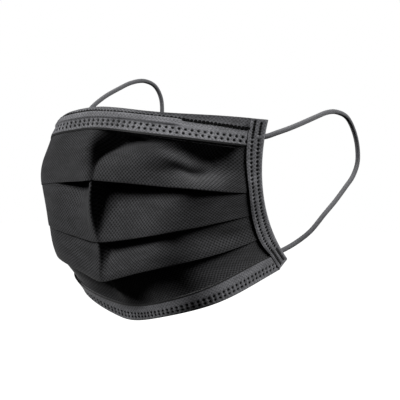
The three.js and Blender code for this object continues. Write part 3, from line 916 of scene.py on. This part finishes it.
# %% Side tapes
TAPE_ENDS = (0.012, 1.004)  # places down the cloth
TAPE_START, TAPE_FOLD = 0.903, 1 - 1.3 / HALF_WIDTH  # places across of its inner edge and its fold
TAPE_ROWS = 241
TAPE_SLANT = 0.042  # the lower end is cut square to the tape, so its folded edge ends higher
WELD_LINES = (0.27, 0.64)  # places across the tape
WELD_MARGIN = 0.012  # how far from the ends of the tape the welds keep
BAR_ZONE = 0.115  # place down the cloth where the upper bars end; the lower ones are as long
DOT_PITCH, BAR_PITCH = 1.9, 1.2  # mm
tapes, tape_welds, tape_bars = [], [], []
for side, name in ((1, "side_tape_left"), (-1, "side_tape_right")):
    section = folded(TAPE_START, TAPE_START, TAPE_FOLD, TAPE_FRONT, TAPE_BACK, TAPE_COLUMNS)
    places, outs = np.array(section)[::side].T
    slant = TAPE_SLANT * (places - TAPE_START) / (1 - TAPE_START)
    run = np.linspace(0, 1, TAPE_ROWS)[:, None]
    down = TAPE_ENDS[0] + run * (TAPE_ENDS[1] - slant - TAPE_ENDS[0])
    flat = layer(down, side * places[None, :], outs[None, :])
    dots, bars = [], []
    for number, line in enumerate(WELD_LINES):
        start, end = TAPE_ENDS[0] + WELD_MARGIN, TAPE_ENDS[1] - WELD_MARGIN - TAPE_SLANT * line
        line_across = (side * (TAPE_START + (1 - TAPE_START) * line),) * 2
        shift = 0.5 * number
        for zone in ((start, BAR_ZONE), (end - BAR_ZONE, end)):
            bars.append(weld_row(zone, line_across, TAPE_FRONT, BAR_PITCH, shift))
        dots.append(weld_row((BAR_ZONE, end - BAR_ZONE), line_across, TAPE_FRONT, DOT_PITCH, shift))
    dots, bars = joined(dots), joined(bars)
    pulled, fused_and_shaded = dimples(flat, joined([dots, bars]))
    grid = flat + sheet_normals(flat) * pulled[..., None]
    # the inner edge of the tape is sealed, and painted near black as a shadow line too
    sealed_and_shadow = np.abs(places - TAPE_START) * HALF_WIDTH < SEALED_EDGE_AND_SHADOW / 3
    tapes.append(sheet(name, grid, PLY_WALL, hem_cloth, np.maximum(fused_and_shaded, sealed_and_shadow[None, :])))
    tape_welds.append(dots)
    tape_bars.append(bars)

# %% [markdown]
# The fused pads are the same small disc hundreds of times, each turned to lie in the cloth. They
# could be duplicated by hand, but that is work for Geometry Nodes: the places go in as bare points
# that carry two directions, and the tree puts a pad on each, makes no two quite alike, and hands
# back one mesh. The pad has only ten sides, because there are so many.

# %% A tree that sets pads on points
PAD_SIDES = 10
PAD_SEED = 7
PAD_SMALLEST, PAD_LARGEST = (0.8, 0.8, 1), (1.15, 1.15, 1)  # of the size asked for


def pad_tree():
    """Geometry nodes that put a pad on each point, with its sizes and its finish as inputs."""
    tree = bpy.data.node_groups.new("pads_on_points", "GeometryNodeTree")
    face = tree.interface
    face.new_socket("Geometry", in_out="INPUT", socket_type="NodeSocketGeometry")
    sizes = ("Pad Length", "Pad Width", "Pad Height")
    for name in sizes:
        face.new_socket(name, in_out="INPUT", socket_type="NodeSocketFloat")
    face.new_socket("Finish", in_out="INPUT", socket_type="NodeSocketMaterial")
    face.new_socket("Geometry", in_out="OUTPUT", socket_type="NodeSocketGeometry")
    given = add(tree, "NodeGroupInput").outputs
    inputs = {"Vertices": PAD_SIDES, "Radius": 0.5, "Depth": 1.0}
    disc = add(tree, "GeometryNodeMeshCylinder", inputs, "Mesh")
    size = add(tree, "ShaderNodeCombineXYZ", [given[name] for name in sizes], 0)
    pad = add(tree, "GeometryNodeTransform", {"Geometry": disc, "Scale": size}, "Geometry")
    kind = "GeometryNodeInputNamedAttribute"
    directions = [
        add(tree, kind, {"Name": name}, "Attribute", data_type="FLOAT_VECTOR")
        for name in ("out", "along")
    ]
    turn = add(tree, "FunctionNodeAxesToRotation", directions, "Rotation")
    limits = {0: PAD_SMALLEST, 1: PAD_LARGEST, "Seed": PAD_SEED}
    uneven = add(tree, "FunctionNodeRandomValue", limits, 0, data_type="FLOAT_VECTOR")
    inputs = {"Points": given["Geometry"], "Instance": pad, "Rotation": turn, "Scale": uneven}
    set_out = add(tree, "GeometryNodeInstanceOnPoints", inputs, "Instances")
    real = add(tree, "GeometryNodeRealizeInstances", {"Geometry": set_out}, "Geometry")
    inputs = {"Geometry": real, "Material": given["Finish"]}
    finished = add(tree, "GeometryNodeSetMaterial", inputs, "Geometry")
    add(tree, "NodeGroupOutput", {"Geometry": finished})
    return tree


PADS = pad_tree()
print("the tree for the pads has", len(PADS.nodes), "nodes")

# %% [markdown]
# Each row of welds now gets its pads. They lie at the bottom of the dimples, except along the upper
# edge of the top hem, where a row of taller pads stands between the teeth. That row is a black seam,
# and it is also a painted shadow in the gap between the front ply and the back ply.

# %% Fused pads
SUNK = DIMPLE["deep"] - 0.03  # mm
SEAM_SHADOW_DOWN, SEAM_SHADOW_OUT = 0.005, 0.02  # how far below the hem's top the black seam runs, which is also a painted shadow, and mm


def pads(name, welds, length, width, sunk=SUNK, height=0.12):
    """A mesh of fused pads in mm sizes, one at each weld, sunk below the ply's face."""
    mesh = bpy.data.meshes.new(name)
    places = welds["point"] + welds["out"] * (PLY_WALL / 2 - sunk)
    mesh.from_pydata((places * MM).tolist(), [], [])
    for key in ("along", "out"):
        attribute = mesh.attributes.new(key, "FLOAT_VECTOR", "POINT")
        attribute.data.foreach_set("vector", welds[key].ravel())
    made = bpy.data.objects.new(name, mesh)
    bpy.context.scene.collection.objects.link(made)
    modifier = made.modifiers.new("pads", "NODES")
    modifier.node_group = PADS
    values = {"Pad Length": length * MM, "Pad Width": width * MM, "Pad Height": height * MM}
    values["Finish"] = weld_film_and_pit_shade
    for item in PADS.interface.items_tree:
        if item.in_out == "INPUT" and item.name in values:
            modifier[item.identifier] = values[item.name]
    evaluated = made.evaluated_get(bpy.context.evaluated_depsgraph_get())
    plain = bpy.data.meshes.new_from_object(evaluated)
    made.modifiers.clear()
    made.data = plain
    print(name, "has", len(welds["point"]), "pads and", len(plain.polygons), "faces")
    return made


# the black seam along the hem's top edge, which is also a painted shadow between the two plies
seam_and_shadow = level_row(HEM_TOP + SEAM_SHADOW_DOWN, HEM_FRONT + SEAM_SHADOW_OUT, TEETH["pitch"], bow=HEM_BOW)
weld_pads = [
    pads("top_hem_welds", top_welds, length=1.65, width=1.35),
    pads("top_hem_seam_shadow", seam_and_shadow, length=1.95, width=1.6, sunk=-0.12, height=0.3),
    pads("bottom_hem_welds", foot_welds, length=1.55, width=1.15),
]
for side, dots, bars in zip(("left", "right"), tape_welds, tape_bars):
    weld_pads.append(pads(f"side_tape_welds_{side}", dots, length=1.2, width=1.2))
    weld_pads.append(pads(f"side_tape_bars_{side}", bars, length=0.7, width=1.25))

# %% [markdown]
# The loops are tubes swept along the two lines. Each ring is turned to the same side of the head
# all the way, so the ribs of the knit run straight along the cord. At the two ends the ring is
# squeezed to an oval, because the cord is pressed flat where it is welded behind the tape. A curve
# with a round bevel would be quicker, but it has neither the flat ends nor a map in millimetres.

# %% Ear loops
RING_SIDES = 20
FLAT_RUN = 8.0  # mm at each end that is pressed flat
FLAT_THIN, FLAT_WIDE = 0.55, 0.3  # how much thinner and how much wider it is there
loops = []
for name, (line, _) in loop_lines.items():
    side = 1 if name.endswith("left") else -1
    tangent = unit(np.gradient(line, axis=0))
    run = run_along(line, 0)
    ends = np.clip(1 - np.minimum(run, run[-1] - run) / FLAT_RUN, 0, 1)[:, None]
    pressed = ends**2 * (3 - 2 * ends)
    tape_side = outward(np.where(run < run[-1] / 2, LOOP_TOP, LOOP_BOTTOM), side * np.ones_like(run))
    facing = unit(np.array([side, 0, 0]) * (1 - pressed) + tape_side * pressed)
    thin = unit(facing - tangent * np.sum(facing * tangent, axis=1, keepdims=True))
    wide = np.cross(tangent, thin)
    angle = np.linspace(0, 2 * math.pi, RING_SIDES, endpoint=False)
    across_flat = thin[:, None, :] * np.cos(angle)[None, :, None]
    along_flat = wide[:, None, :] * np.sin(angle)[None, :, None]
    ring = across_flat * (1 - FLAT_THIN * pressed)[:, None, :]
    ring = ring + along_flat * (1 + FLAT_WIDE * pressed)[:, None, :]
    points = (line[:, None, :] + ring * CORD / 2).reshape(-1, 3)
    number = np.arange(len(points)).reshape(len(line), RING_SIDES)
    around = np.concatenate([number, number[:, :1]], axis=1)
    faces = [list(f) for i in range(len(line) - 1) for f in quads(around[i], around[i + 1])[:, ::-1]]
    faces += [list(number[0]), list(number[-1][::-1])]
    uv = np.stack([np.tile(angle / (2 * math.pi) * RIBS, len(line)), np.repeat(run, RING_SIDES)], axis=-1)
    loops.append(new_object(name.replace("ear_loop", "elastic_loop"), points, faces, uv, elastic))

# %% [markdown]
# A plain pale floor and a white surround, as for a catalogue. The floor gives off its own
# white, so that it stays pale however little light falls on it, and it is hidden from the rays that
# would throw light back up into the folds. The surround is white to the camera, but lights the mask
# hardly at all, so that the pockets under the folds stay dark. A big lit backdrop would do the same
# for the eye, and fill every fold with its light.

# %% Floor and surround
FLOOR_DROP, FLOOR_SIZE = 120.0, 4000.0  # mm
SURROUND = 0.008  # how strongly it lights the mask
half = FLOOR_SIZE / 2 * MM
height = cad_low[2] - FLOOR_DROP * MM
corners = [(x * half, y * half, height) for x, y in ((-1, -1), (1, -1), (1, 1), (-1, 1))]
floor_mesh = bpy.data.meshes.new("floor")
floor_mesh.from_pydata(corners, [], [(0, 1, 2, 3)])
floor = bpy.data.objects.new("floor", floor_mesh)
bpy.context.scene.collection.objects.link(floor)
paper, tree, shader = finish_named("white_paper", 0.9)
shader.inputs["Base Color"].default_value = linear("#f4f4f2")
shader.inputs["Emission Color"].default_value = (1, 1, 1, 1)
shader.inputs["Emission Strength"].default_value = 1.0
floor_mesh.materials.append(paper)
floor.visible_diffuse = False
floor.visible_glossy = False

world = bpy.data.worlds.new("studio")
bpy.context.scene.world = world
world.use_nodes = True
tree = world.node_tree
surround = tree.nodes["Background"]
surround.inputs["Color"].default_value = (1, 1, 1, 1)
surround.inputs["Strength"].default_value = SURROUND
seen = add(tree, "ShaderNodeBackground", {"Color": (1, 1, 1, 1), "Strength": 1.0}, 0)
direct = add(tree, "ShaderNodeLightPath", (), "Is Camera Ray")
either = add(tree, "ShaderNodeMixShader", (direct, surround.outputs[0], seen), 0)
tree.links.new(either, tree.nodes["World Output"].inputs["Surface"])
print("floor in mm:", round(height / MM, 1))

# %% [markdown]
# Two soft lights stand high on either side of the camera and far round to the sides, the right one
# a little stronger. From there the light rakes across the folds: each lip is edged with light and
# each pocket is left in shadow. A light by the camera would show the colour better and the folds
# not at all.

# %% Lights
def soft_light(name, direction, distance, size, watts):
    """A square soft light that faces the middle of the mask. direction is right, back and up as the
    camera sees them; distances in mm."""
    place = direction[0] * right + direction[1] * back + direction[2] * np.array([0, 0, 1])
    place = place / np.linalg.norm(place)
    data = bpy.data.lights.new(name, "AREA")
    data.shape, data.size, data.energy = "SQUARE", size * MM, watts
    made = bpy.data.objects.new(name, data)
    made.location = Vector((AIM + distance * place) * MM)
    made.rotation_mode = "QUATERNION"
    made.rotation_quaternion = Vector(place).to_track_quat("Z", "Y")
    bpy.context.scene.collection.objects.link(made)


soft_light("key", direction=(-0.8, 0.32, 0.55), distance=900, size=320, watts=5.9)
soft_light("fill", direction=(0.74, 0.17, 0.65), distance=900, size=350, watts=7.4)
bpy.context.scene.view_settings.view_transform = "Standard"

# %% [markdown]
# Last, each piece is tied to the frame by what it rides on, and the frame pieces that they stand
# for are hidden.

# %% Tie the pieces to the frame
trims = [top_hem, top_hem_back, bottom_hem, *tapes, *weld_pads]
for piece in (panel, nose_wire, *trims, *loops):
    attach(piece, "root")
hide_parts("pleated_panel")
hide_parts("top_band")
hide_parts("top_band_back")
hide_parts("nose_wire")
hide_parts("bottom_band")
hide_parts("side_band_left")
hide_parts("side_band_right")
for piece, (name, (line, length)) in zip(loops, loop_lines.items()):
    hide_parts(name)
